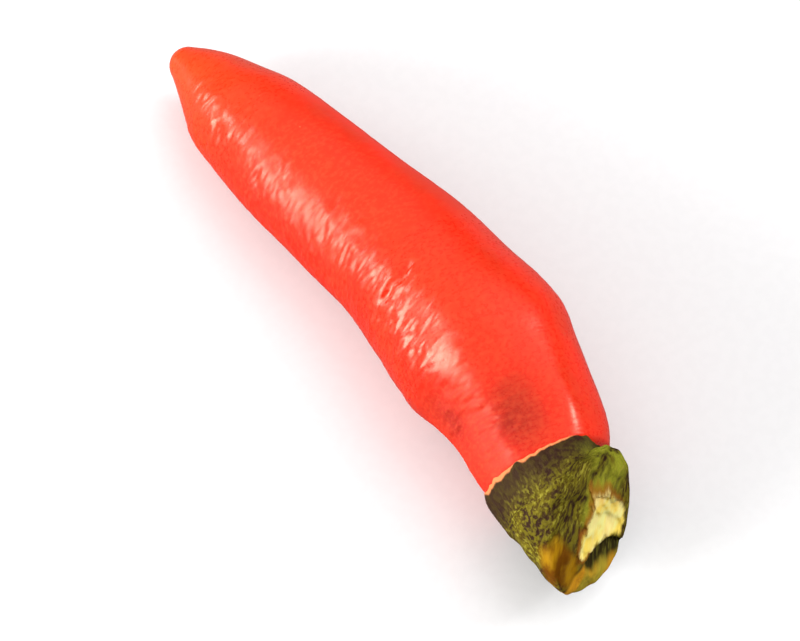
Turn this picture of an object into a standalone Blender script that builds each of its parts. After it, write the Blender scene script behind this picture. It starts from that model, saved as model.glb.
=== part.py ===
"""A chilli pepper as picked, lying on its side: the pod, and the calyx that caps its stem end.

Metres, +Z up. +X runs along the pepper from the tip of the pod to the calyx, +Y is the outside of the
bend, and Z 0 is the surface that it lies on. The origin is there, under the middle of the bounding box.

Both pieces are turned upright about Z, with the tip of the pod at the origin, and are then laid along
the pepper's centre line. A station is a distance along X from the tip, and an angle round the pod
counts from its +Y side over the top.
"""

import math

import bmesh
import bpy
from mathutils import Vector

MM = 0.001
FACETS = 48  # round both pieces
GAP = 0.3  # between the pod and the calyx

# The centre line: (station, place along Y) and (station, height)
CENTRE_Y = (
    (0, -1.5), (5, 0.0), (10.5, 0.6), (17.5, 1.9), (24.5, 3.4), (31.5, 4.9), (38, 5.5),
    (45, 5.8), (51.5, 5.6), (58, 4.5), (61.5, 4.3), (65, 3.2), (68, 1.8), (71, 0.6),
)
CENTRE_Z = (
    (0, 4.2), (5, 4.6), (10.5, 5.3), (17.5, 6.05), (28, 6.75), (38, 7.65), (44.5, 8.2),
    (51.5, 7.8), (58, 7.3), (71, 6.9),
)

# The pod: a round tip, and then (station, radius) to where the calyx covers it
TIP_RADIUS = 1.8
TIP_ARC = math.radians(70)
POD_RADIUS = (
    (1.2, 1.7), (3, 2.6), (6, 3.9), (10.5, 5.5), (17.5, 6.3), (28, 7.0),
    (38, 7.9), (44.5, 8.5), (48, 7.7), (51, 7.1), (54.5, 6.65), (57.2, 5.95),
)
POD_RINGS = 30
# The pod's end, a dome inside the calyx
SHOULDER_STATION = 57.4
SHOULDER_RADIUS = 5.1
DOME_LENGTH = 3.2
DOME_RINGS = 7

# The calyx: (station, radius) from its margin to its closed end
CALYX_RADIUS = ((57.5, 5.8), (59, 5.9), (61, 5.8), (63, 5.4), (65, 4.5), (67, 3.4), (69, 2.0))
CALYX_END = 70
CALYX_RINGS = 12
# The stem tore off along this plane
SCAR_POINT = Vector((66, 3.5, 6))
SCAR_NORMAL = Vector((0.78, 0.45, 0.43))

# Hollows: (station, angle in degrees, half length along, half length round, depth)
HOLLOWS = (
    (54, 108, 3.6, 2.8, 0.8),
    (50, 166, 4.0, 3.0, 0.6),
    (13, 150, 2.4, 2.2, 0.25),
)


def through(points, at):
    """The value at one place on the smooth curve that runs through (place, value) points."""
    places = [place for place, _ in points]
    values = [value for _, value in points]
    last = len(points) - 1
    slopes = []
    for i in range(len(points)):
        before, after = max(i - 1, 0), min(i + 1, last)
        slopes.append((values[after] - values[before]) / (places[after] - places[before]))
    i = max(sum(place <= at for place in places) - 1, 0)
    i = min(i, last - 1)
    width = places[i + 1] - places[i]
    t = (at - places[i]) / width
    return (
        (1 + 2 * t) * (1 - t) ** 2 * values[i]
        + t * (1 - t) ** 2 * width * slopes[i]
        + t * t * (3 - 2 * t) * values[i + 1]
        + t * t * (t - 1) * width * slopes[i + 1]
    )


def centre(station):
    """The point of the centre line at a station."""
    return Vector((station, through(CENTRE_Y, station), through(CENTRE_Z, station)))


def laid_down(point):
    """Where a point of the upright pepper comes when it is laid along the centre line."""
    step = 0.5
    ahead = (centre(point.z + step) - centre(point.z - step)).normalized()
    side = Vector((0, 0, 1)).cross(ahead).normalized()
    return centre(point.z) + side * point.x + ahead.cross(side) * point.y


def hollow_depth(point):
    """How far the hollows take in a point of the upright pod."""
    angle = math.atan2(point.y, point.x)
    distance = math.hypot(point.x, point.y)
    depth = 0
    for station, degrees, along, around, deep in HOLLOWS:
        turn = (angle - math.radians(degrees) + math.pi) % math.tau - math.pi
        depth += deep * math.exp(-(((point.z - station) / along) ** 2) - (distance * turn / around) ** 2)
    return depth


def dome(station, radius, length):
    """(station, radius) points down a dome, from its top to the ring where it starts."""
    angles = [math.pi / 2 * (1 - i / DOME_RINGS) for i in range(DOME_RINGS + 1)]
    return [(station + length * math.sin(a), radius * math.cos(a)) for a in angles]


def steps(first, last, count):
    """Evenly spaced values from first to last."""
    return [first + (last - first) * i / count for i in range(count + 1)]


def pod_outline():
    """(station, radius) points down the pod from its stem end to its tip."""
    end, start = POD_RADIUS[-1][0], POD_RADIUS[0][0]
    side = [(at, through(POD_RADIUS, at)) for at in steps(end, start, POD_RINGS)]
    angles = steps(TIP_ARC, 0, 4)[1:]
    tip = [(TIP_RADIUS * (1 - math.cos(a)), TIP_RADIUS * math.sin(a)) for a in angles]
    return dome(SHOULDER_STATION, SHOULDER_RADIUS, DOME_LENGTH) + side + tip


def calyx_outline():
    """(station, radius) points down the calyx, and then up inside it, over the pod's dome."""
    margin, last = CALYX_RADIUS[0][0], CALYX_RADIUS[-1][0]
    side = [(at, through(CALYX_RADIUS, at)) for at in steps(last, margin, CALYX_RINGS)]
    inside = dome(SHOULDER_STATION, SHOULDER_RADIUS + GAP, DOME_LENGTH + GAP)
    inside[-1] = (margin, SHOULDER_RADIUS + GAP)
    return [(CALYX_END, 0)] + side + inside[::-1]


def turned(name, outline, collection):
    """A closed body turned upright about Z from (station, radius) points, as a plain mesh."""
    profile = bpy.data.meshes.new(name)
    corners = [(radius, 0, station) for station, radius in outline]
    profile.from_pydata(corners, [(i, i + 1) for i in range(len(corners) - 1)], [])
    body = bpy.data.objects.new(name, profile)
    collection.objects.link(body)
    screw = body.modifiers.new("turn", "SCREW")
    screw.steps = screw.render_steps = FACETS
    screw.use_merge_vertices = True
    screw.merge_threshold = 0.001
    bpy.context.view_layer.update()
    whole = bpy.data.meshes.new_from_object(body.evaluated_get(bpy.context.evaluated_depsgraph_get()))
    body.modifiers.clear()
    body.data = whole
    bpy.data.meshes.remove(profile)
    whole.name = name
    return body


def reshape(body, moved):
    """Puts each corner of the body where the function says."""
    for corner in body.data.vertices:
        corner.co = moved(corner.co.copy())


def cut_off(body, point, normal):
    """Takes away what lies beyond a plane and closes the cut with one flat face."""
    bm = bmesh.new()
    bm.from_mesh(body.data)
    everything = bm.verts[:] + bm.edges[:] + bm.faces[:]
    cut = bmesh.ops.bisect_plane(
        bm, geom=everything, plane_co=point, plane_no=normal, clear_outer=True
    )
    rim = [piece for piece in cut["geom_cut"] if isinstance(piece, bmesh.types.BMEdge)]
    bmesh.ops.edgeloop_fill(bm, edges=rim)
    bmesh.ops.recalc_face_normals(bm, faces=bm.faces)
    bm.to_mesh(body.data)
    bm.free()


def material(name, colour, roughness):
    """A Principled material of one colour."""
    made = bpy.data.materials.new(name)
    made.use_nodes = True
    shader = made.node_tree.nodes["Principled BSDF"]
    shader.inputs["Base Color"].default_value = (*colour, 1)
    shader.inputs["Roughness"].default_value = roughness
    return made


def make_pod(collection):
    """The fruit: one fleshy piece, with a flat strip where it rests on its belly."""
    pod = turned("pod", pod_outline(), collection)
    reshape(pod, lambda p: p - Vector((p.x, p.y, 0)).normalized() * hollow_depth(p))
    reshape(pod, laid_down)
    cut_off(pod, Vector((0, 0, 0)), Vector((0, 0, -1)))
    pod.data.materials.append(material("red_skin", (0.80, 0.055, 0.02), 0.3))
    return pod


def make_calyx(collection):
    """The green cap that the stem grew from, with the scar where the stem tore off."""
    calyx = turned("calyx", calyx_outline(), collection)
    reshape(calyx, laid_down)
    cut_off(calyx, SCAR_POINT, SCAR_NORMAL)
    calyx.data.materials.append(material("dry_calyx", (0.12, 0.09, 0.025), 0.6))
    return calyx


def centre_on_origin(bodies):
    """Moves the pepper so that its box stands centred on the origin, and turns mm into metres."""
    corners = [corner.co for body in bodies for corner in body.data.vertices]
    middle = Vector((0, 0, 0))
    for axis in (0, 1):
        places = [corner[axis] for corner in corners]
        middle[axis] = (min(places) + max(places)) / 2
    for body in bodies:
        reshape(body, lambda p: (p - middle) * MM)
        body.data.shade_smooth()
        body.data.set_sharp_from_angle(angle=math.radians(40))


def main():
    for old in list(bpy.data.objects):
        bpy.data.objects.remove(old)
    collection = bpy.data.collections.new("chilli_pepper")
    bpy.context.scene.collection.children.link(collection)
    centre_on_origin([make_pod(collection), make_calyx(collection)])


main()
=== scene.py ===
"""The looks of a chilli pepper that lies on its side: the pod's waxy skin and the dry calyx with its scar.

Both pieces are turned upright about Z in millimetres, with the tip of the pod at the origin, shaped by
hollows, ridges and wrinkles, and then laid along the pepper's centre line. A station is a distance along
the pepper from the tip, and an angle round it counts from the +Y side over the top.
"""

import math
from functools import lru_cache

import bmesh
import bpy
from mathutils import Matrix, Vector, noise


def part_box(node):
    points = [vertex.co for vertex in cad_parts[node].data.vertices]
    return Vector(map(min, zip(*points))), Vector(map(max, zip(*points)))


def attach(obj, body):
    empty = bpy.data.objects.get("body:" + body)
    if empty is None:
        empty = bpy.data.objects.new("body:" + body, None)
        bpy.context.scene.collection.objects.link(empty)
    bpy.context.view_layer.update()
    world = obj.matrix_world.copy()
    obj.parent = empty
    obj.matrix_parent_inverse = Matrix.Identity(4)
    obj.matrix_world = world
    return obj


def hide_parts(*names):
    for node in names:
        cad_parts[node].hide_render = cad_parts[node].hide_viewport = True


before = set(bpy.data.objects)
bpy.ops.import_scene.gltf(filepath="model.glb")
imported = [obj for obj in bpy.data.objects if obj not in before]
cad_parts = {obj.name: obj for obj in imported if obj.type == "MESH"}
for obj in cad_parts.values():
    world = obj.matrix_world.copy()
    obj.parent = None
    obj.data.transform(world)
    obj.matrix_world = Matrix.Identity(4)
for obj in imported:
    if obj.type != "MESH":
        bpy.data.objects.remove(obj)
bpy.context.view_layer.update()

MM = 0.001

# The centre line, as the frame has it: (station, place along Y) and (station, height)
CENTRE_Y = (
    (0, -1.5), (5, 0.0), (10.5, 0.6), (17.5, 1.9), (24.5, 3.4), (31.5, 4.9), (38, 5.5),
    (45, 5.8), (51.5, 5.6), (58, 4.5), (61.5, 4.3), (65, 3.2), (68, 1.8), (71, 0.6),
)
CENTRE_Z = (
    (0, 4.2), (5, 4.6), (10.5, 5.3), (17.5, 6.05), (28, 6.75), (38, 7.65), (44.5, 8.2),
    (51.5, 7.8), (58, 7.3), (71, 6.9),
)

# The pod: a round tip, and then (station, radius)
TIP_RADIUS = 1.8
TIP_ARC = math.radians(70)
TIP_RINGS = 12
POD_RADIUS = (
    (1.2, 1.7), (3, 2.6), (6, 3.9), (10.5, 5.5), (17.5, 6.3), (28, 7.0),
    (38, 7.9), (44.5, 8.5), (48, 7.7), (51, 7.1), (54.5, 6.65), (57.2, 5.95), (57.8, 5.5),
)
POD_RINGS = 320
POD_SEGMENTS = 272
SHOULDER_RADIUS = 5.2
DOME_LENGTH = 3.2
DOME_RINGS = 8

# The calyx: (station, radius) from its margin to its blunt end
CALYX_MARGIN = 57.3
CALYX_RADIUS = (
    (57.3, 5.85), (57.7, 5.95), (59, 6.0), (61, 5.85), (63, 5.45), (65, 4.7), (67, 3.7), (69, 2.3),
)
CALYX_END = 70
CALYX_RINGS = 190
CALYX_SEGMENTS = 240
LIP_THICKNESS = 0.3

# The stem tore off along this plane
SCAR_POINT = Vector((66, 3.5, 6))
SCAR_NORMAL = Vector((0.78, 0.45, 0.43)).normalized()
SCAR_SIDE = Vector((0, 0, 1)).cross(SCAR_NORMAL).normalized()
SCAR_UP = SCAR_NORMAL.cross(SCAR_SIDE)

# The torn face, in that plane: corners (place to the side, place upwards) of its bare flesh, and points
# along the crevice under it
FLESH = (
    (-0.9, 0.5), (-0.5, 1.6), (1.4, 2.3), (3.1, 2.8), (4.0, 3.8), (5.8, 2.3), (6.2, -1.2),
    (4.9, -2.2), (3.9, -2.3), (1.4, -0.7),
)
CREVICE = ((-1.5, 0.0), (-0.7, -0.3), (1.0, -1.2), (4.1, -3.0), (5, -3.6))
DRIED_PATCH = (-2.9, 1.9)
MARKS = ("bare", "crevice", "torn_edge", "dried", "lip")

# Hollows and, with a negative depth, swellings: (station, angle in degrees, half length along, half
# length round, depth). The first ones go into both pieces, and carry the painted shade of the pod's
# hollows, a deeper red.
HOLLOWS = (
    (53.8, 107, 4.2, 3.5, 0.85),
    (50, 166, 4.0, 3.0, 0.6),
    (13, 150, 2.4, 2.2, 0.25),
)
SWELLINGS = (
    (42, 112, 4.5, 2.6, -0.2),
    (42, 131, 4.2, 3.8, 0.52),
    (36, 125, 1.5, 3.0, -0.1),
    (24, 145, 5.0, 2.2, 0.12),
    (4.4, 172, 2.4, 3.2, -0.5),
    (7.8, 180, 2.0, 3.0, -0.35),
    (53.5, 66, 3.0, 1.6, -0.35),
    (55.8, 8, 2.4, 3.0, -0.25),
    (33.5, 135, 2.0, 3.5, -0.15),
    (14.2, 120, 0.5, 1.2, 0.12),
    (47.5, 155, 1.2, 1.8, 0.2),
)
CALYX_HOLLOWS = (
    (64.6, 8, 2.0, 3.0, -0.4),
    (64.2, -32, 2.2, 3.4, -0.7),
    (60.1, 14, 2.3, 3.6, 1.6),
    (57.5, 190, 0.9, 2.5, -0.3),
    (59.5, 160, 2.0, 3.0, 0.15),
)

# The pod's unevenness: it swells and is sunk a little on the whole, so that it stays in the frame's box
SWELL = 0.16
SINK = 0.09
# Its wrinkles, on the flank inside the bend, and the one sharp fold across them
FLANK_ANGLE = 148
FINE_WRINKLES = 0.13
BROAD_WRINKLES = 0.15
FOLD_STATION = 37
FOLD_ANGLE = 125
FOLD_HALF_WIDTH = 0.45
FOLD_DEPTH = 0.35

# The calyx's unevenness, and how far behind the scar's plane the tear still changes it
FIBRES = 0.08
LUMPS = 0.2
SCAR_REACH = 3


def through(points, at):
    """The value at one place on the smooth curve that runs through (place, value) points."""
    places = [place for place, _ in points]
    values = [value for _, value in points]
    last = len(points) - 1
    slopes = []
    for i in range(len(points)):
        before, after = max(i - 1, 0), min(i + 1, last)
        slopes.append((values[after] - values[before]) / (places[after] - places[before]))
    i = max(sum(place <= at for place in places) - 1, 0)
    i = min(i, last - 1)
    width = places[i + 1] - places[i]
    t = (at - places[i]) / width
    return (
        (1 + 2 * t) * (1 - t) ** 2 * values[i]
        + t * (1 - t) ** 2 * width * slopes[i]
        + t * t * (3 - 2 * t) * values[i + 1]
        + t * t * (t - 1) * width * slopes[i + 1]
    )


def centre(station):
    """The point of the centre line at a station."""
    return Vector((station, through(CENTRE_Y, station), through(CENTRE_Z, station)))


@lru_cache(maxsize=None)
def section(station):
    """The centre line's point at a station, with the directions to its side, up and ahead."""
    step = 0.5
    ahead = (centre(station + step) - centre(station - step)).normalized()
    side = Vector((0, 0, 1)).cross(ahead).normalized()
    return centre(station), side, ahead.cross(side), ahead


def laid_down(point):
    """Where a point of the upright pepper comes when it is laid along the centre line."""
    middle, side, up, _ = section(round(point.z, 3))
    return middle + side * point.x + up * point.y


def smooth_step(low, high, value):
    """0 below low, 1 above high, and a smooth rise between them."""
    t = min(max((value - low) / (high - low), 0), 1)
    return t * t * (3 - 2 * t)


def steps(first, last, count):
    """Evenly spaced values from first to last."""
    return [first + (last - first) * i / count for i in range(count + 1)]


def hump(value, middle, half_width):
    """1 at the middle, falling off smoothly to both sides."""
    return math.exp(-(((value - middle) / half_width) ** 2))


def turn_between(angle, degrees):
    """The turn from a direction given in degrees to an angle in radians, from -pi to pi."""
    return (angle - math.radians(degrees) + math.pi) % math.tau - math.pi


def bump(station, angle, distance, place, degrees, along, around):
    """1 at a place on the skin, falling off smoothly along and round the pepper."""
    across = distance * turn_between(angle, degrees)
    return hump(station, place, along) * hump(across, 0, around)


def hollow_depth(hollows, station, angle, distance):
    """How far the hollows take in a point of the skin."""
    return sum(
        depth * bump(station, angle, distance, place, degrees, along, around)
        for place, degrees, along, around, depth in hollows
    )


def seen_from_axis(point):
    """The station, the angle and the distance from the axis of a point of the upright pepper."""
    return point.z, math.atan2(point.y, point.x), math.hypot(point.x, point.y)


def dome(station, radius, length):
    """(station, radius) points down a dome, from its top to the ring where it starts."""
    return [
        (station + length * math.sin(a), radius * math.cos(a))
        for a in steps(math.pi / 2, 0, DOME_RINGS)
    ]


def turned(outline, segments):
    """A bmesh turned about Z from (station, radius) points that start and end on the axis."""
    bm = bmesh.new()
    corners = [bm.verts.new((radius, 0, station)) for station, radius in outline]
    edges = [bm.edges.new(pair) for pair in zip(corners, corners[1:])]
    bmesh.ops.spin(
        bm, geom=corners + edges, cent=(0, 0, 0), axis=(0, 0, 1), angle=math.tau,
        steps=segments, use_merge=True, use_duplicate=False,
    )
    bmesh.ops.remove_doubles(bm, verts=bm.verts, dist=0.0001)
    bmesh.ops.recalc_face_normals(bm, faces=bm.faces)
    return bm


def finished(name, bm, node, material):
    """A smooth shaded piece from a bmesh in millimetres, which stands for a node of the frame."""
    mesh = bpy.data.meshes.new(name)
    bm.to_mesh(mesh)
    bm.free()
    mesh.shade_smooth()
    piece = bpy.data.objects.new(name, mesh)
    bpy.context.scene.collection.objects.link(piece)
    mesh.materials.append(material)
    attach(piece, "root")
    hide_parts(node)
    return piece


# The pod


def pod_outline():
    """(station, radius) points down the pod from its stem end to its tip."""
    end, start = POD_RADIUS[-1][0], POD_RADIUS[0][0]
    side = [(at, through(POD_RADIUS, at)) for at in steps(end, start, POD_RINGS)]
    tip = [
        (TIP_RADIUS * (1 - math.cos(a)), TIP_RADIUS * math.sin(a))
        for a in steps(TIP_ARC, 0, TIP_RINGS)[1:]
    ]
    return dome(end + 0.1, SHOULDER_RADIUS, DOME_LENGTH)[:-1] + side + tip


def skin_wrinkles(station, angle, distance):
    """Fine wrinkles that run across the pod, strongest on the flank inside the bend."""
    across = Vector((math.cos(angle), math.sin(angle), 0)) * distance
    fine = noise.noise(Vector((across.x / 1.4, across.y / 1.4, station / 0.42)))
    broad = noise.noise(Vector((across.x / 2.2, across.y / 2.2, station / 1.1 + 40)))
    flank = 0.12 + 0.88 * smooth_step(1.1, 0.5, abs(turn_between(angle, FLANK_ANGLE)))
    patch = noise.noise(Vector((across.x / 3, across.y / 3, station / 4)))
    height = FINE_WRINKLES * fine + BROAD_WRINKLES * broad
    return flank * (0.4 + 0.6 * smooth_step(-0.25, 0.25, patch)) * height


def fold_depth(station, angle, distance):
    """How far the one sharp fold across the flank takes in a point of the skin."""
    across = distance * turn_between(angle, FOLD_ANGLE)
    wander = 0.4 * noise.noise(Vector((across / 1.2, 3, 7)))
    fold = hump(station, FOLD_STATION + wander + 0.06 * across, FOLD_HALF_WIDTH)
    return FOLD_DEPTH * fold * smooth_step(3.4, 1.4, abs(across))


def shape_pod(bm):
    """Sinks the hollows and wrinkles into the upright pod, and lays it on its belly."""
    upright = bm.verts.layers.float_vector.new("upright")
    hollow = bm.verts.layers.float.new("hollow")
    for corner in bm.verts:
        station, angle, distance = seen_from_axis(corner.co)
        corner[upright] = corner.co
        depth = hollow_depth(HOLLOWS, station, angle, distance)
        corner[hollow] = depth
        depth += hollow_depth(SWELLINGS, station, angle, distance)
        covered = smooth_step(CALYX_MARGIN, CALYX_MARGIN + 1, station)
        depth += covered * hollow_depth(CALYX_HOLLOWS, station, angle, distance)
        depth += fold_depth(station, angle, distance)
        swell = SWELL * noise.noise(corner.co / 7.0) - SINK
        thick = smooth_step(1, 12, station)
        depth -= thick * (swell + skin_wrinkles(station, angle, distance))
        if distance > 0:
            shrink = 1 - depth / distance
            corner.co.x *= shrink
            corner.co.y *= shrink
        corner.co = laid_down(corner.co)
        corner.co.z = max(corner.co.z, 0)


# The calyx


def calyx_outline():
    """(station, radius) points down the calyx, round its lip and up inside it."""
    last = CALYX_RADIUS[-1][0]
    end = [
        (last + (CALYX_END - last) * math.sin(a), CALYX_RADIUS[-1][1] * math.cos(a))
        for a in steps(math.pi / 2, 0, 30)
    ]
    side = [(at, through(CALYX_RADIUS, at)) for at in steps(last, CALYX_MARGIN, CALYX_RINGS)]
    lip = CALYX_RADIUS[0][1] - LIP_THICKNESS
    inside = [(CALYX_MARGIN + 0.1, lip), (CALYX_MARGIN + 0.8, lip - 0.1)]
    top = dome(CALYX_MARGIN + 0.9, lip - 0.2, DOME_LENGTH)[::-1]
    return end[:-1] + side + inside + top


def inside(outline, side, up):
    """How far a point lies inside an outline of corners, negative outside it."""
    nearest, within = math.inf, False
    for (x0, y0), (x1, y1) in zip(outline, outline[1:] + outline[:1]):
        run, rise = x1 - x0, y1 - y0
        t = min(max(((side - x0) * run + (up - y0) * rise) / (run * run + rise * rise), 0), 1)
        nearest = min(nearest, math.hypot(x0 + t * run - side, y0 + t * rise - up))
        if (y0 > up) != (y1 > up) and side < x0 + run * (up - y0) / rise:
            within = not within
    return nearest if within else -nearest


def crevice_height(side):
    """How far up the torn face the crevice lies, at a place to its side."""
    return through(CREVICE, min(max(side, CREVICE[0][0]), CREVICE[-1][0]))


def torn_face(side, up):
    """At a point of the torn face: how far inside the flesh, how deep in the crevice, and how much painted
    shade the crevice gets there.
    """
    ragged = 0.4 * noise.noise(Vector((side / 0.8, up / 0.8, 5)))
    ragged += 0.2 * noise.noise(Vector((side / 0.3, up / 0.3, 9)))
    wander = 0.3 * noise.noise(Vector((side / 0.8, 2, 2)))
    above = up - crevice_height(side) - wander
    start, end = smooth_step(-1.6, 0, side), smooth_step(5.0, 3.4, side)
    deep = start * end * hump(above, -0.25, 0.45)
    # Painted shade along the crevice, which the crevice mark carries
    crevice_shade = start * hump(above, -0.35, 0.5)
    return inside(FLESH, side, up) + ragged, deep, crevice_shade


def scar_relief(side, up, flesh, deep):
    """How far the torn face stands out from the scar's plane."""
    bowl = -0.55 * hump(side, 3.2, 2.6) * hump(up, -0.4, 2.2)
    torn = 0.2 * noise.noise(Vector((side / 0.8, up / 1.6, 3))) * smooth_step(0, 0.5, flesh)
    edge = 0.2 * hump(flesh, 0.05, 0.3) * smooth_step(0, 1.2, up)
    lumps = 0.3 * noise.noise(Vector((side / 1.7, up / 1.7, 8))) * smooth_step(0.2, -0.4, flesh)
    shoulder = -0.12 * min(max(up - 2.4, 0), 1.8) ** 2
    rim = 0.45 * smooth_step(-0.65, -1.1, up - crevice_height(side)) * smooth_step(-1.5, 0.5, side)
    return bowl + torn + edge + shoulder + rim + lumps - 0.5 * deep


def grown_uneven(point):
    """A point of the upright calyx, moved by its hollows, its fibres and its uneven margin."""
    station, angle, distance = seen_from_axis(point)
    around = Vector((math.cos(angle), math.sin(angle), 0))
    across = around * distance
    fibres = noise.noise(Vector((across.x / 0.8, across.y / 0.8, station / 3.2)))
    lumps = noise.noise(Vector((across.x / 2.4, across.y / 2.4, station / 2.4)))
    depth = hollow_depth(HOLLOWS + CALYX_HOLLOWS, station, angle, distance)
    depth -= FIBRES * fibres + LUMPS * lumps
    shrink = 1 - depth / max(distance, 1)
    uneven = 0.5 * noise.noise(around * 2.2) + 0.25 * noise.noise(around * 7)
    rise = uneven * smooth_step(CALYX_MARGIN + 3, CALYX_MARGIN, station)
    return Vector((point.x * shrink, point.y * shrink, station + rise))


def torn_off(place, ahead):
    """A point of the calyx brought back to the torn face, and how much of each mark it has there."""
    beyond = (place - SCAR_POINT).dot(SCAR_NORMAL)
    if beyond < -SCAR_REACH:
        return place, {}
    lean = ahead.dot(SCAR_NORMAL)
    offset = place - ahead * (max(beyond, 0) / lean) - SCAR_POINT
    side, up = offset.dot(SCAR_SIDE), offset.dot(SCAR_UP)
    flesh, deep, crevice_shade = torn_face(side, up)
    excess = beyond - scar_relief(side, up, flesh, deep)
    roundness = 0.08 + 0.8 * smooth_step(2, 4, up) + 0.35 * smooth_step(-2, -4, side)
    roundness *= smooth_step(-SCAR_REACH, -1.5, beyond)
    soft = (excess + math.sqrt(excess * excess + roundness)) / 2
    cut = smooth_step(-0.5, 0.1, excess)
    from_patch = math.hypot((side - DRIED_PATCH[0]) / 1.8, (up - DRIED_PATCH[1]) / 2.4)
    below = crevice_height(side) - up
    return place - ahead * (soft / lean), {
        "bare": smooth_step(-0.2, 0.25, flesh) * cut,
        "crevice": crevice_shade * cut,
        "torn_edge": smooth_step(-0.8, -0.1, flesh) * cut * smooth_step(-1.0, 0.3, up),
        "dried": smooth_step(1.2, 0.7, from_patch) * smooth_step(-2.5, -1, beyond),
        "lip": smooth_step(-0.1, 0.3, below) * smooth_step(-1.2, -0.3, excess),
    }


def shape_calyx(bm):
    """Gives the upright calyx its uneven margin, its fibres and its scar, and lays it down."""
    layers = bm.verts.layers
    upright = layers.float_vector.new("upright")
    marks = {name: layers.float.new(name) for name in MARKS}
    for corner in bm.verts:
        corner[upright] = corner.co
        ahead = section(round(corner.co.z, 3))[3]
        corner.co, amounts = torn_off(laid_down(grown_uneven(corner.co)), ahead)
        for name, amount in amounts.items():
            corner[marks[name]] = amount


# Materials


def add(tree, kind, inputs=None, **settings):
    """A shader node with its settings, and its inputs set or linked."""
    made = tree.nodes.new("ShaderNode" + kind)
    for key, value in settings.items():
        setattr(made, key, value)
    for key, value in (inputs or {}).items():
        if isinstance(value, bpy.types.NodeSocket):
            tree.links.new(value, made.inputs[key])
        else:
            made.inputs[key].default_value = value
    return made


def mixed(tree, share, first, second):
    """The colour between two colours."""
    mix = add(tree, "Mix", {0: share}, data_type="RGBA")
    for socket, value in ((mix.inputs[6], first), (mix.inputs[7], second)):
        if isinstance(value, bpy.types.NodeSocket):
            tree.links.new(value, socket)
        else:
            socket.default_value = (*value, 1)
    return mix.outputs[2]


def spread(tree, value, low, high):
    """A mask that rises smoothly from 0 at low to 1 at high."""
    inputs = {"Value": value, "From Min": low, "From Max": high}
    return add(tree, "MapRange", inputs, interpolation_type="SMOOTHSTEP").outputs[0]


def times(tree, first, second):
    """The product of two values."""
    return add(tree, "Math", {0: first, 1: second}, operation="MULTIPLY").outputs[0]


def plus(tree, first, second):
    """The sum of two values."""
    return add(tree, "Math", {0: first, 1: second}).outputs[0]


def facing(tree, upright, direction):
    """How far the skin faces a direction across the upright pepper, from -1 to 1."""
    flat = add(tree, "VectorMath", {0: upright, 1: (1, 1, 0)}, operation="MULTIPLY").outputs[0]
    outward = add(tree, "VectorMath", {0: flat}, operation="NORMALIZE").outputs[0]
    return add(tree, "VectorMath", {0: outward, 1: direction}, operation="DOT_PRODUCT").outputs[1]


def group_of(name, inputs, outputs):
    """An empty node group with named inputs (name, kind, value) and outputs (name, kind)."""
    tree = bpy.data.node_groups.new(name, "ShaderNodeTree")
    for label, kind, value in inputs:
        socket = tree.interface.new_socket(label, in_out="INPUT", socket_type="NodeSocket" + kind)
        if value is not None:
            socket.default_value = value
    for label, kind in outputs:
        tree.interface.new_socket(label, in_out="OUTPUT", socket_type="NodeSocket" + kind)
    return tree, tree.nodes.new("NodeGroupInput").outputs, tree.nodes.new("NodeGroupOutput").inputs


def streaks_group():
    """Noise drawn out along or across the pepper, as a mask and as a height."""
    inputs = (
        ("Vector", "Vector", None), ("Stretch", "Vector", (1, 1, 1)), ("Detail", "Float", 2.0),
        ("Low", "Float", 0.4), ("High", "Float", 0.6),
    )
    tree, given, made = group_of("streaks", inputs, (("Mask", "Float"), ("Height", "Float")))
    drawn = add(tree, "VectorMath", {0: given["Vector"], 1: given["Stretch"]}, operation="MULTIPLY")
    grain = add(tree, "TexNoise", {"Vector": drawn.outputs[0], "Scale": 1.0, "Detail": given["Detail"]})
    mask = spread(tree, grain.outputs[0], given["Low"], given["High"])
    tree.links.new(mask, made["Mask"])
    tree.links.new(grain.outputs[0], made["Height"])
    return tree


def specks_group():
    """Small round dots on a share of the cells of a scattered pattern."""
    inputs = (
        ("Vector", "Vector", None), ("Spacing", "Float", 1.0), ("Radius", "Float", 0.15),
        ("Share", "Float", 0.3),
    )
    tree, given, made = group_of("specks", inputs, (("Mask", "Float"),))
    closer = add(tree, "Math", {0: 1.0, 1: given["Spacing"]}, operation="DIVIDE").outputs[0]
    cells = add(tree, "TexVoronoi", {"Vector": given["Vector"], "Scale": closer})
    fall = {
        "Value": cells.outputs["Distance"], "From Max": times(tree, given["Radius"], closer),
        "To Min": 1.0, "To Max": 0.0,
    }
    dot = add(tree, "MapRange", fall).outputs[0]
    pick = add(tree, "SeparateColor", {0: cells.outputs["Color"]}).outputs[0]
    chosen = add(tree, "Math", {0: pick, 1: given["Share"]}, operation="LESS_THAN").outputs[0]
    tree.links.new(times(tree, dot, chosen), made["Mask"])
    return tree


def use(tree, group, inputs):
    """A node group in a material, with its inputs set or linked."""
    made = tree.nodes.new("ShaderNodeGroup")
    made.node_tree = group
    for key, value in inputs.items():
        if isinstance(value, bpy.types.NodeSocket):
            tree.links.new(value, made.inputs[key])
        else:
            made.inputs[key].default_value = value
    return made.outputs


def drawn(tree, streaks, vector, stretch, detail=2.0, low=0.4, high=0.6):
    """The outputs of the streaks group for one stretch of its noise."""
    inputs = {"Vector": vector, "Stretch": stretch, "Detail": detail, "Low": low, "High": high}
    return use(tree, streaks, inputs)


def new_material(name):
    """An empty Principled material: its node tree and its shader."""
    made = bpy.data.materials.new(name)
    made.use_nodes = True
    return made, made.node_tree, made.node_tree.nodes["Principled BSDF"]


def attribute(tree, name):
    """A mesh attribute's outputs."""
    return add(tree, "Attribute", attribute_name=name).outputs


# The side the skin's painted light is drawn on, and the reds of its painted light and painted shade
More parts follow.
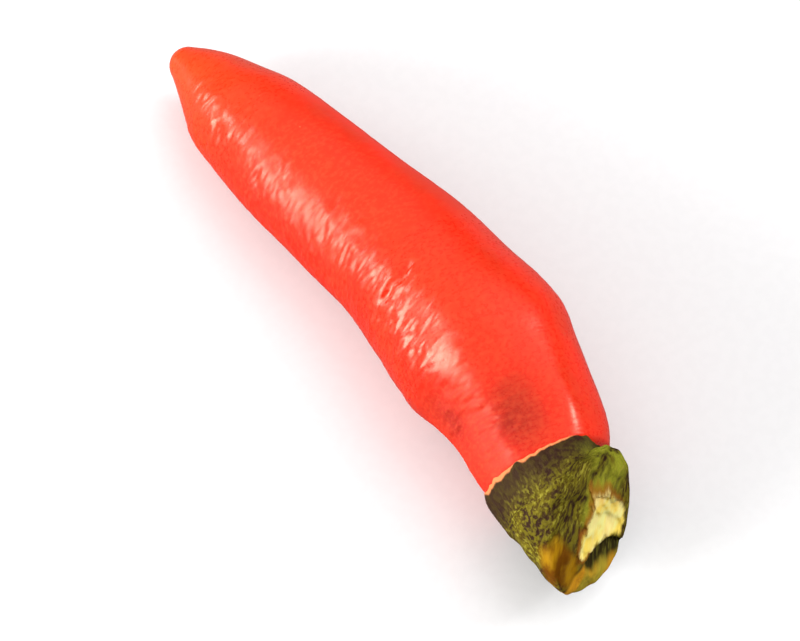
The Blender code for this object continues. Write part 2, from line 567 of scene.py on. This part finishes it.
PAINTED_LIGHT_SIDE = (0.55, 0.83, 0)
PAINTED_SHADE_RED = (0.72, 0.014, 0.002)
PAINTED_LIGHT_RED = (0.95, 0.022, 0.003)
TIP_ORANGE = (0.95, 0.062, 0.01)
# Painted shade in the pod's hollows
PAINTED_HOLLOW_SHADE = (0.3, 0.003, 0.001)
BLOTCH_RED = (0.62, 0.03, 0.004)
CELL_ORANGE = (0.95, 0.16, 0.05)
SPECK_ORANGE = (0.95, 0.3, 0.12)


def red_skin(streaks, specks):
    """Waxy skin: orange at the tip, a brighter red of painted light on top, and a deeper red of painted
    shade in hollows and below.
    """
    material, tree, shader = new_material("red_skin")
    upright = attribute(tree, "upright")["Vector"]
    hollow = attribute(tree, "hollow")["Fac"]
    station = add(tree, "SeparateXYZ", {0: upright}).outputs[2]
    facing_side = facing(tree, upright, PAINTED_LIGHT_SIDE)

    # Painted light and shade: a brighter red on the side drawn lit, a darker red away from it
    colour = mixed(tree, spread(tree, facing_side, -0.6, 0.9), PAINTED_SHADE_RED, PAINTED_LIGHT_RED)
    colour = mixed(tree, spread(tree, station, 19, -2), colour, TIP_ORANGE)
    # Painted shade: a deeper red where the hollows sink in
    colour = mixed(tree, spread(tree, hollow, -0.1, 1.0), colour, PAINTED_HOLLOW_SHADE)
    blotches = drawn(tree, streaks, upright, (0.3, 0.3, 0.22), 3, 0.35, 0.7)
    colour = mixed(tree, times(tree, blotches["Mask"], 0.35), colour, BLOTCH_RED)
    cells = drawn(tree, streaks, upright, (2.2, 2.2, 3.2), 2, 0.4, 0.7)
    colour = mixed(tree, times(tree, cells["Mask"], 0.12), colour, CELL_ORANGE)
    pale = use(tree, specks, {"Vector": upright, "Spacing": 1.6, "Radius": 0.12, "Share": 0.25})
    colour = mixed(tree, times(tree, pale["Mask"], 0.45), colour, SPECK_ORANGE)
    tree.links.new(colour, shader.inputs["Base Color"])

    # The flank inside the bend is duller by the calyx, and a little duller along its middle
    gloss = add(tree, "MapRange", {"Value": cells["Height"], "To Min": 0.2, "To Max": 0.38}).outputs[0]
    by_calyx = times(tree, spread(tree, station, 45, 49), spread(tree, facing_side, 0.5, 0.1))
    middle = times(tree, spread(tree, station, 13, 18), spread(tree, station, 35, 30))
    dull = plus(tree, times(tree, by_calyx, 0.4), times(tree, middle, 0.1))
    tree.links.new(plus(tree, gloss, dull), shader.inputs["Roughness"])
    fine = drawn(tree, streaks, upright, (1.0, 1.0, 3.2), 1.5)
    grain = plus(tree, fine["Height"], pale["Mask"])
    relief = add(tree, "Bump", {"Strength": 0.2, "Distance": 0.0001, "Height": grain})
    tree.links.new(relief.outputs[0], shader.inputs["Normal"])
    shader.inputs["Specular IOR Level"].default_value = 0.5
    shader.inputs["Specular Tint"].default_value = (1, 0.86, 0.66, 1)
    shader.inputs["Subsurface Weight"].default_value = 0.12
    shader.inputs["Subsurface Radius"].default_value = (1.0, 0.25, 0.1)
    shader.inputs["Subsurface Scale"].default_value = 0.0015
    return material


GREEN_SIDE = (0.82, 0.57, 0)
BROWN = (0.034, 0.014, 0.009)
OLIVE_BROWN = (0.085, 0.055, 0.006)
OLIVE = (0.2, 0.165, 0.01)
GREEN = (0.29, 0.3, 0.02)
MARGIN_BROWN = (0.034, 0.015, 0.01)
SPOT_GREEN = (0.32, 0.28, 0.03)
DARK_OCHRE = (0.14, 0.045, 0.001)
OCHRE = (0.38, 0.19, 0.003)
GOLD = (0.62, 0.28, 0.012)
GREEN_GOLD = (0.4, 0.3, 0.025)
TORN_BROWN = (0.3, 0.1, 0.008)
FLESH_YELLOW = (1.0, 0.74, 0.12)
FLESH_CREAM = (1.0, 0.95, 0.34)
FLESH_ORANGE = (0.95, 0.5, 0.18)
# Painted shade in the crevice under the torn face
CREVICE_SHADE_BLACK = (0.02, 0.014, 0.002)
CREVICE_SHADE_GREEN = (0.09, 0.08, 0.01)
MARGIN_LINE = (0.75, 0.25, 0.09)


def dry_calyx(streaks):
    """Fibrous skin, mottled olive and brown, and the pale torn flesh of the scar."""
    material, tree, shader = new_material("dry_calyx")
    upright = attribute(tree, "upright")["Vector"]
    bare, crevice, torn_edge, dried, lip = (attribute(tree, name)["Fac"] for name in MARKS)
    station = add(tree, "SeparateXYZ", {0: upright}).outputs[2]
    facing_side = facing(tree, upright, GREEN_SIDE)
    wide = drawn(tree, streaks, upright, (0.5, 0.5, 0.4), 3, 0.38, 0.62)
    mottle = drawn(tree, streaks, upright, (2.3, 2.3, 1.8), 4, 0.43, 0.6)
    fibres = drawn(tree, streaks, upright, (3.4, 3.4, 1.9), 3, 0.5, 0.64)

    colour = mixed(tree, wide["Mask"], BROWN, OLIVE_BROWN)
    colour = mixed(tree, times(tree, mottle["Mask"], 0.7), colour, OLIVE)
    green = times(tree, spread(tree, facing_side, 0.72, 1.0), spread(tree, wide["Height"], 0.38, 0.55))
    colour = mixed(tree, green, colour, GREEN)
    near = spread(tree, station, CALYX_MARGIN + 5, CALYX_MARGIN + 1)
    colour = mixed(tree, times(tree, near, 0.85), colour, MARGIN_BROWN)
    far = spread(tree, station, CALYX_MARGIN + 0.5, CALYX_MARGIN + 5)
    spots = times(tree, times(tree, fibres["Mask"], far), spread(tree, wide["Height"], 0.4, 0.65))
    colour = mixed(tree, spots, colour, SPOT_GREEN)

    # The scar: a dry patch beside it, the lip, the torn edge, the bare flesh and the painted shade in the
    # crevice
    colour = mixed(tree, dried, colour, mixed(tree, wide["Mask"], DARK_OCHRE, OCHRE))
    colour = mixed(tree, times(tree, lip, 0.85), colour, mixed(tree, wide["Mask"], GOLD, GREEN_GOLD))
    colour = mixed(tree, times(tree, torn_edge, 0.85), colour, TORN_BROWN)
    pale = drawn(tree, streaks, upright, (0.9, 0.9, 0.8), 4, 0.35, 0.6)
    flesh = mixed(tree, pale["Mask"], FLESH_YELLOW, FLESH_CREAM)
    flesh = mixed(tree, times(tree, wide["Mask"], 0.4), flesh, FLESH_ORANGE)
    colour = mixed(tree, bare, colour, flesh)
    # Painted shade: the crevice drawn near black, mottled with dark green
    shaded = mixed(tree, fibres["Mask"], CREVICE_SHADE_BLACK, CREVICE_SHADE_GREEN)
    colour = mixed(tree, spread(tree, crevice, 0.15, 0.6), colour, shaded)

    wavy = add(tree, "Math", {0: wide["Height"], 1: station}, operation="SUBTRACT").outputs[0]
    edge = spread(tree, wavy, 0.1 - CALYX_MARGIN, 0.3 - CALYX_MARGIN)
    colour = mixed(tree, edge, colour, MARGIN_LINE)
    tree.links.new(colour, shader.inputs["Base Color"])

    grain = plus(tree, fibres["Height"], mottle["Height"])
    smooth = add(tree, "Math", {0: dried, 1: bare}, operation="MAXIMUM").outputs[0]
    strong = add(tree, "MapRange", {"Value": smooth, "To Min": 1.0, "To Max": 0.3}).outputs[0]
    height = times(tree, grain, strong)
    relief = add(tree, "Bump", {"Strength": 0.8, "Distance": 0.0002, "Height": height})
    tree.links.new(relief.outputs[0], shader.inputs["Normal"])
    rough = add(tree, "MapRange", {"Value": mottle["Height"], "To Min": 0.4, "To Max": 0.7})
    tree.links.new(rough.outputs[0], shader.inputs["Roughness"])
    shader.inputs["Specular IOR Level"].default_value = 0.07
    shader.inputs["Specular Tint"].default_value = (1, 0.85, 0.5, 1)
    return material


FLOOR_BOUNCE = (0.22, 0.2, 0.2)
PAPER = (0.83, 0.83, 0.835)
PALE_PAPER = (0.84, 0.84, 0.845)


def pale_floor(streaks):
    """A matt white surface that shows bright but sends little light back into the pepper."""
    material, tree, shader = new_material("pale_floor")
    seen = add(tree, "LightPath").outputs["Is Camera Ray"]
    grain = drawn(tree, streaks, add(tree, "TexCoord").outputs["Object"], (900, 900, 900))
    paper = mixed(tree, grain["Mask"], PAPER, PALE_PAPER)
    tree.links.new(mixed(tree, seen, FLOOR_BOUNCE, paper), shader.inputs["Base Color"])
    shader.inputs["Roughness"].default_value = 0.8
    shader.inputs["Specular IOR Level"].default_value = 0.1
    return material


# The studio

CAMERA_AZIMUTH = math.radians(59.3)
CAMERA_ELEVATION = math.radians(60)
CAMERA_DISTANCE = 0.5
CAMERA_LENS = 246
CAMERA_AIM = Vector((0.002, -0.0029, 0.0051))
RIGHT = Vector((math.cos(CAMERA_AZIMUTH), math.sin(CAMERA_AZIMUTH), 0))
FORWARD = Vector((-math.sin(CAMERA_AZIMUTH), math.cos(CAMERA_AZIMUTH), 0))
UP = Vector((0, 0, 1))
SKY_HORIZON = (0.06, 0.06, 0.06)
SKY_TOP = (0.82, 0.82, 0.82)


def link(name, data):
    """A new object in the scene."""
    made = bpy.data.objects.new(name, data)
    bpy.context.scene.collection.objects.link(made)
    return made


def add_camera():
    """The camera, on a line from its aim at the azimuth and the elevation above."""
    camera = link("camera", bpy.data.cameras.new("camera"))
    camera.data.lens = CAMERA_LENS
    camera.data.clip_start = 0.01
    back = -FORWARD * math.cos(CAMERA_ELEVATION) + UP * math.sin(CAMERA_ELEVATION)
    camera.location = CAMERA_AIM + back * CAMERA_DISTANCE
    camera.rotation_euler = (-back).to_track_quat("-Z", "Y").to_euler()
    bpy.context.scene.camera = camera


def add_light(name, place, width, height, power, mirrored=True):
    """A soft box at a place, turned towards the pepper; an unmirrored one only lights it."""
    light = link(name, bpy.data.lights.new(name, "AREA"))
    light.data.shape = "RECTANGLE"
    light.data.size = width
    light.data.size_y = height
    light.data.energy = power
    light.visible_glossy = mirrored
    light.location = place
    light.rotation_euler = (-Vector(place)).to_track_quat("-Z", "Y").to_euler()


def add_sky():
    """A soft white dome overhead, dark near the horizon."""
    world = bpy.data.worlds.new("studio")
    bpy.context.scene.world = world
    world.use_nodes = True
    tree = world.node_tree
    height = add(tree, "SeparateXYZ", {0: add(tree, "TexCoord").outputs["Generated"]}).outputs[2]
    colour = mixed(tree, spread(tree, height, 0.2, 0.7), SKY_HORIZON, SKY_TOP)
    background = tree.nodes["Background"]
    tree.links.new(colour, background.inputs["Color"])
    background.inputs["Strength"].default_value = 1.0


def add_studio(streaks):
    """The white surface, the sky and the soft boxes round the pepper."""
    bm = bmesh.new()
    bmesh.ops.create_grid(bm, x_segments=1, y_segments=1, size=2)
    mesh = bpy.data.meshes.new("floor")
    bm.to_mesh(mesh)
    bm.free()
    mesh.materials.append(pale_floor(streaks))
    link("floor", mesh)
    add_sky()
    add_light("key", FORWARD * 0.3 + RIGHT * 0.35 + UP * 0.6, 0.8, 0.8, 2.6, mirrored=False)
    add_light("left_box", -RIGHT * 0.3 - FORWARD * 0.12 + UP * 0.11, 0.2, 0.14, 1.6)
    add_light("tip_box", -RIGHT * 0.32 + FORWARD * 0.12 + UP * 0.07, 0.09, 0.08, 0.3)
    add_light("end_box", RIGHT * 0.5 + FORWARD * 0.09 + UP * 0.28, 0.13, 0.1, 1.1)
    bpy.context.scene.view_settings.view_transform = "Standard"


def place_on_frame(pod, calyx):
    """Brings both pieces from the upright pepper's millimetres to where the frame's pod lies."""
    lowest = [min(corner.co[axis] for corner in pod.verts) * MM for axis in range(3)]
    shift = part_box("pod")[0] - Vector(lowest)
    shift.z = 0
    for bm in (pod, calyx):
        for corner in bm.verts:
            corner.co = corner.co * MM + shift


def main():
    streaks = streaks_group()
    specks = specks_group()
    pod = turned(pod_outline(), POD_SEGMENTS)
    shape_pod(pod)
    calyx = turned(calyx_outline(), CALYX_SEGMENTS)
    shape_calyx(calyx)
    place_on_frame(pod, calyx)
    finished("pod_skin", pod, "pod", red_skin(streaks, specks))
    finished("calyx_with_scar", calyx, "calyx", dry_calyx(streaks))
    add_camera()
    add_studio(streaks)


main()
